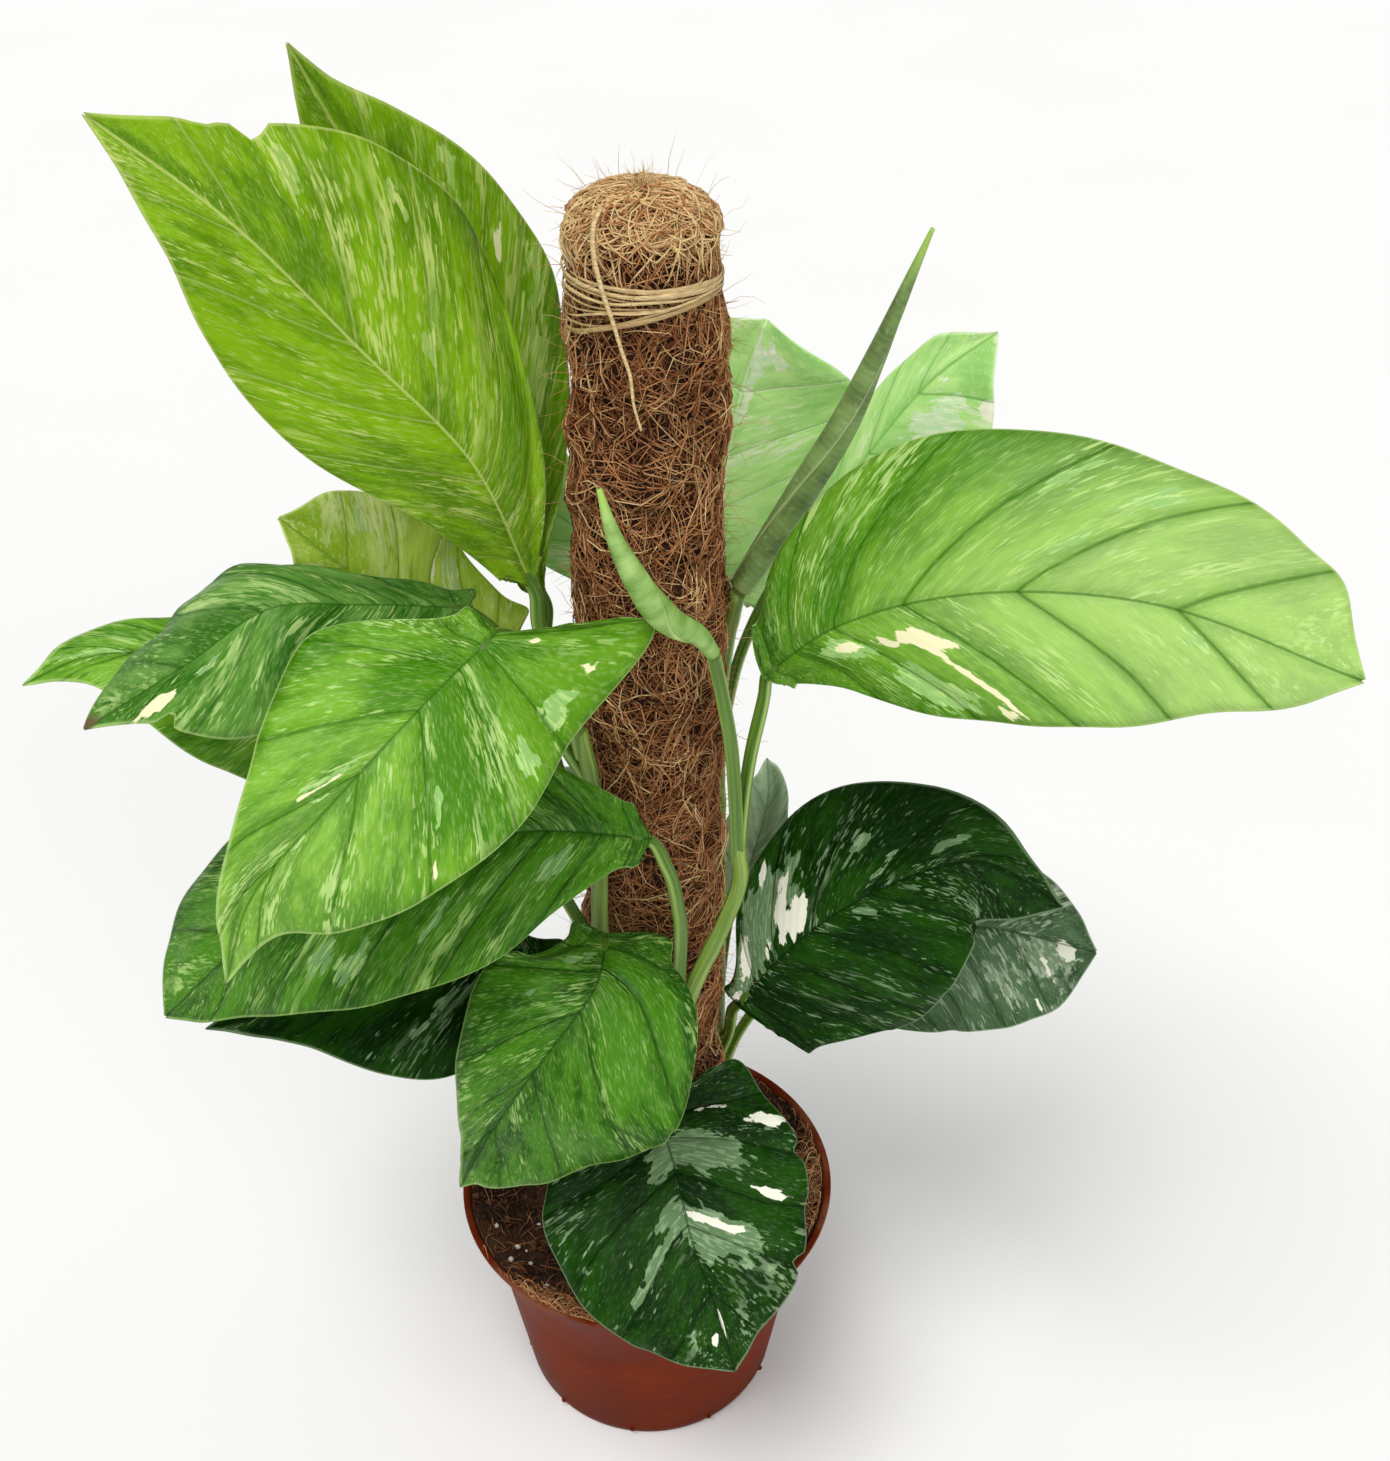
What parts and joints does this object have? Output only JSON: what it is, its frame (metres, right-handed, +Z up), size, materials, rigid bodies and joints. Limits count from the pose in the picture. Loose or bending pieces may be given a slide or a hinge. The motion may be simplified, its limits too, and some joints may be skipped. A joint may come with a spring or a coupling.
{
  "type": "potted climbing plant",
  "caption": "Climbing monstera with cream-speckled leaves on a coir pole, growing in a plain terracotta-brown nursery pot.",
  "frame": {"origin": "middle of the pot's foot, on the surface it stands on", "axes": "+Z up along the pot's axis, -Y the front seen in the picture, +X to the right of it"},
  "size_m": [0.41, 0.2368, 0.541],
  "materials": {
    "pot": "smooth matte terracotta-brown plastic",
    "soil": "loose dark peat mix with white perlite",
    "coir": "reddish-brown coconut fibre, golden at the top",
    "cord": "straw-coloured twisted cord",
    "stem": "smooth yellow-green stems and stalks",
    "leaf_bright": "bright yellow-green leaf with cream speckles, soft sheen",
    "leaf_middle": "mid-green leaf with cream speckles, soft sheen",
    "leaf_dark": "dark green leaf with silver and cream marks, soft sheen",
    "rolled_leaf": "light green rolled young leaf"
  },
  "bodies": {
    "root": {"pot": "pot", "soil": "soil", "coir_pole": "coir", "cord": "cord", "vine_right": "stem", "vine_front": "stem", "vine_left": "stem", "vine_low": "stem", "leaf_crown_front": "leaf_bright", "leaf_crown_back": "leaf_bright", "leaf_left_small": "leaf_bright", "leaf_left_middle": "leaf_middle", "leaf_left_low": "leaf_middle", "leaf_front_left": "leaf_middle", "leaf_front_low_left": "leaf_dark", "leaf_low_left": "leaf_dark", "leaf_front_low": "leaf_middle", "leaf_bottom_front": "leaf_dark", "leaf_right_low": "leaf_dark", "leaf_right_low_back": "leaf_dark", "leaf_right_big": "leaf_middle", "leaf_behind_pole": "leaf_bright", "leaf_back_right": "leaf_middle", "leaf_back_left": "leaf_bright", "leaf_back_small": "leaf_dark", "leaf_back_low": "leaf_dark", "spear_tall": "rolled_leaf", "spear_small": "rolled_leaf"}
  },
  "joints": []
}
